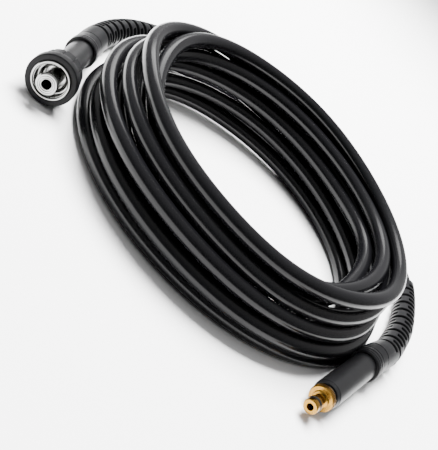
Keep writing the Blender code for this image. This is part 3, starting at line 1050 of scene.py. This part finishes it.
@dataclass
class Studio:
    """The camera at the photograph's angle, a plain pale floor and soft light."""

    place_mm: Point = (6.5, -527.7, 237.2)
    look_down: float = 26.48
    roll: float = 45.0
    focal_px: float = 778.2
    image_height: float = 450.0
    sensor: float = 36.0
    floor_size: float = 6.0
    # The room's brightest side, and how far towards it the room goes from dark to bright.
    room_top: Point = (0.0, 0.5, 0.87)
    room_span: tuple[float, float] = (-0.2, 0.75)
    room_dark: float = 0.03
    room_bright: float = 0.78

    def camera(self) -> None:
        """Makes the scene's camera."""
        tilt = math.radians(self.look_down)
        ahead = Vector((0.0, math.cos(tilt), -math.sin(tilt)))
        up = Vector((0.0, math.sin(tilt), math.cos(tilt)))
        right = Vector((1.0, 0.0, 0.0))
        lean = math.radians(self.roll)
        local_x = right * math.cos(lean) + up * math.sin(lean)
        local_y = up * math.cos(lean) - right * math.sin(lean)
        data = bpy.data.cameras.new("camera")
        data.sensor_width = self.sensor
        data.lens = self.focal_px * self.sensor / self.image_height
        data.clip_start, data.clip_end = 0.01, 50.0
        camera = put_in_scene("camera", data)
        turn = Matrix((local_x, local_y, -ahead)).transposed().to_4x4()
        camera.matrix_world = Matrix.Translation(Vector(self.place_mm) * MM) @ turn
        bpy.context.scene.camera = camera

    def floor(self) -> None:
        """Makes the floor, a plain matt white board."""
        half = self.floor_size / 2.0
        mesh = bpy.data.meshes.new("floor")
        mesh.from_pydata([(-half, -half, 0.0), (half, -half, 0.0), (half, half, 0.0), (-half, half, 0.0)], [],
                         [(0, 1, 2, 3)])
        material = bpy.data.materials.new("white_board")
        material.use_nodes = True
        shader = material.node_tree.nodes["Principled BSDF"]
        shader.inputs["Base Color"].default_value = linear("f4f4f4")
        shader.inputs["Roughness"].default_value = 0.9
        shader.inputs["Specular IOR Level"].default_value = 0.1
        mesh.materials.append(material)
        put_in_scene("floor", mesh)

    def lamp(self, name: str, spot: Point, size: tuple[float, float], power: float,
             mirrored: bool = True) -> None:
        """Hangs one soft box that faces the coil.

        Args:
            name: Its name.
            spot: Where it hangs, in metres.
            size: Its two sides, in metres.
            power: Its power in watts.
            mirrored: Whether glossy surfaces mirror it.
        """
        data = bpy.data.lights.new(name, "AREA")
        data.shape, data.size, data.size_y, data.energy = "RECTANGLE", size[0], size[1], power
        lamp = put_in_scene(name, data)
        lamp.visible_glossy = mirrored
        turn = (-Vector(spot)).to_track_quat("-Z", "Y").to_matrix().to_4x4()
        lamp.matrix_world = Matrix.Translation(Vector(spot)) @ turn

    def light(self) -> None:
        """Makes the light: a room that is white behind and overhead and dark in front, and two soft boxes."""
        world = bpy.data.worlds.new("white_room")
        world.use_nodes = True
        tree = world.node_tree
        way = add_node(tree, "ShaderNodeTexCoord")
        lean = add_node(tree, "ShaderNodeVectorMath", {"operation": "DOT_PRODUCT"}, {
            0: way.outputs["Generated"], 1: self.room_top})
        power = add_node(tree, "ShaderNodeMapRange", {"interpolation_type": "SMOOTHSTEP"}, {
            "Value": lean.outputs["Value"], "From Min": self.room_span[0], "From Max": self.room_span[1],
            "To Min": self.room_dark, "To Max": self.room_bright})
        back = tree.nodes["Background"]
        back.inputs["Color"].default_value = (1.0, 1.0, 1.0, 1.0)
        tree.links.new(power.outputs["Result"], back.inputs["Strength"])
        bpy.context.scene.world = world
        self.lamp("key_box", spot=(-0.7, 1.1, 1.0), size=(0.8, 0.5), power=10.0)
        self.lamp("floor_fill", spot=(-0.35, 0.7, 1.7), size=(1.1, 1.1), power=340.0, mirrored=False)

    def build(self) -> None:
        """Makes all three."""
        self.camera()
        self.floor()
        self.light()


TURNS: Turns = (
    ((123.1, 117.7, 115.1, 115.9, 118.0, 119.5, 119.0, 118.1, 116.4, 114.0, 111.2, 108.2),
     (5.5, 5.5, 5.5, 5.6, 5.5, 5.5, 5.5, 5.6, 6.6, 8.1, 9.3, 9.0)),
    ((106.6, 105.4, 103.9, 103.4, 107.3, 111.9, 114.2, 115.6, 115.0, 112.6, 110.4, 108.6),
     (8.4, 6.9, 5.8, 6.8, 10.2, 13.7, 15.6, 16.5, 17.7, 19.3, 20.9, 22.9)),
    ((106.0, 104.4, 105.7, 110.1, 116.7, 122.1, 123.5, 122.1, 118.6, 114.7, 110.8, 107.9),
     (22.7, 20.4, 17.8, 16.4, 16.7, 18.5, 21.8, 26.0, 30.6, 33.4, 35.4, 37.0)),
    ((105.0, 101.8, 99.9, 94.3, 98.8, 109.6, 113.9, 113.3, 110.8, 109.0, 109.1, 109.6),
     (36.8, 35.7, 36.3, 34.2, 29.1, 27.3, 28.7, 32.7, 39.2, 44.9, 48.5, 50.9)),
    ((109.1, 107.1, 104.8, 102.8, 104.0, 109.0, 110.3, 109.1, 104.4, 105.7, 111.4, 115.8),
     (50.6, 48.9, 47.9, 46.5, 42.6, 39.2, 39.7, 43.0, 50.2, 58.5, 62.1, 62.7)),
    ((117.5, 116.0, 114.5, 116.2, 118.2, 118.2, 116.8, 115.1, 115.2, 119.6, 122.4, 122.9),
     (61.6, 57.1, 53.4, 51.3, 50.5, 47.8, 50.1, 53.2, 57.8, 58.8, 57.9, 53.9)),
    ((121.8, 120.2, 118.5, 116.8, 119.8, 123.4, 123.0, 122.3, 120.9, 120.3, 120.4, 118.2),
     (50.6, 46.8, 43.0, 39.5, 36.1, 35.1, 39.1, 41.7, 44.4, 45.9, 46.7, 43.7)),
    ((115.3, 112.9, 112.8, 117.4, 125.3, 130.3, 131.1, 131.2, 130.2, 129.0, 124.8, 119.0),
     (41.2, 38.4, 33.3, 28.4, 26.4, 26.5, 30.0, 32.4, 34.6, 38.3, 36.1, 32.5)),
    ((114.9, 113.4, 115.8, 122.0, 130.0, 134.8, 133.8, 131.2, 127.0, 123.7, 120.4, 117.3),
     (29.8, 27.1, 22.5, 18.1, 16.4, 16.1, 17.3, 18.5, 18.7, 17.5, 15.9, 15.6)),
    ((115.6, 118.1, 122.9, 127.2, 130.4, 130.9, 130.1, 129.5, 130.4, 133.1, 136.2, 139.4),
     (15.9, 16.8, 13.8, 8.1, 5.5, 5.6, 6.7, 7.3, 8.1, 10.3, 13.2, 16.3)),
    ((142.6,), (19.3,)))
# The fitted centreline measures a little over 8.1 m.
HOSE_DIAMETER_MM = 11.0


def main() -> None:
    """Dresses the frame, piece by piece."""
    logging.basicConfig(level=logging.INFO, format="%(name)s: %(message)s")
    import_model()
    inlet = Axis((-132.9, -90.8, 17.25), 14.0, -4.0)
    outlet = Axis((110.6, -131.8, 8.5), -16.2, 2.1)
    Studio().build()
    palette = Palette()
    run = HoseRun(inlet, outlet, TURNS)
    LOG.info("hose centreline: %.0f mm", run.length)
    hose = Hose(HOSE_DIAMETER_MM / 2.0).build(run, palette)
    boots = [
        BendProtector("inlet_bend_protector", 1, first_slot=40.5, slot_pitch=6.1, slot_count=21,
                      slot_turn=34).build(run, run.inlet_collar - run.inlet_start, palette),
        BendProtector("outlet_bend_protector", -1, first_slot=38.5, slot_pitch=7.35, slot_count=18,
                      slot_turn=28).build(run, run.length - (run.outlet_collar - run.outlet_start), palette)]
    nut = SwivelNut(inlet, palette).build()
    plug = PlugEnd(outlet, palette).build()
    bpy.data.objects["inlet_ferrule"].material_slots[0].material = palette.get(Palette.NICKEL)
    LOG.info("%d pieces dressed", len(nut) + len(plug) + len(boots) + 1)


if __name__ == "__main__":
    main()
